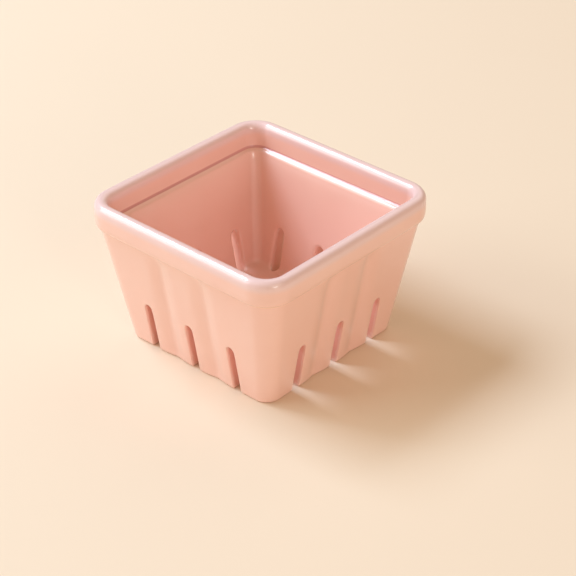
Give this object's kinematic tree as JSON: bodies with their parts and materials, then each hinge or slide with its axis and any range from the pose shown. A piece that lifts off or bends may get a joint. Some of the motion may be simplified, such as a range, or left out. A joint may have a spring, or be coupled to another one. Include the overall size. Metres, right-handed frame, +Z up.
{
  "type": "berry colander bowl",
  "caption": "Square berry basket in glazed stoneware: tapering staved walls with drain slots open at the foot, rolled rim band and inner ledge.",
  "frame": {"origin": "middle of the foot, on the surface that the basket stands on", "axes": "+Z up out of the open top, +X to the right-hand wall and -Y to the front wall in the picture; the basket looks the same on all four sides"},
  "size_m": [0.12, 0.12, 0.0762],
  "materials": {
    "rim_glaze": "gloss pink glaze, thicker and a little paler on the rim",
    "wall_glaze": "gloss pink glaze",
    "floor_glaze": "gloss pink glaze above, dry underside"
  },
  "bodies": {
    "root": {"rim_band": "rim_glaze", "front_wall": "wall_glaze", "right_wall": "wall_glaze", "back_wall": "wall_glaze", "left_wall": "wall_glaze", "front_right_corner": "wall_glaze", "back_right_corner": "wall_glaze", "back_left_corner": "wall_glaze", "front_left_corner": "wall_glaze", "floor_plate": "floor_glaze"}
  },
  "joints": []
}
